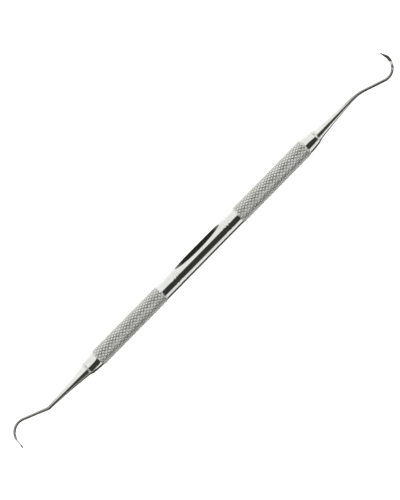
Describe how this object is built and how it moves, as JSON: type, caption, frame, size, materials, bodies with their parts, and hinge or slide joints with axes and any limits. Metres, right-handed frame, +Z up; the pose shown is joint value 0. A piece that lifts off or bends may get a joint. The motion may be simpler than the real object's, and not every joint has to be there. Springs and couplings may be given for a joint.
{
  "type": "hand scaler",
  "caption": "Double-ended dental hand scaler: hollow steel handle with knurled grips, a finger recess, tapered collars and hooked sickle working ends.",
  "frame": {"origin": "on the surface the instrument lies on, under the middle of its bounding box", "axes": "+X along the handle towards the end whose blade has the outer corner, +Z up; both hooks lie in a level plane at the height of the handle's axis, and the finger recess is on the +Y side, above"},
  "size_m": [0.1742, 0.0082, 0.0062],
  "materials": {
    "knurled_steel": "stainless steel tube: polished waist and recess, grips with a rolled diamond knurl",
    "polished_steel": "mirror-polished stainless steel",
    "blade_steel": "polished hardened stainless steel, with fine grinding marks on the blade",
    "brazing_alloy": "silver brazing alloy, polished flush"
  },
  "bodies": {
    "root": {"handle_tube": "knurled_steel", "collar_right": "polished_steel", "collar_left": "polished_steel", "braze_fillet_right": "brazing_alloy", "braze_fillet_left": "brazing_alloy", "working_end_right": "blade_steel", "working_end_left": "blade_steel"}
  },
  "joints": []
}
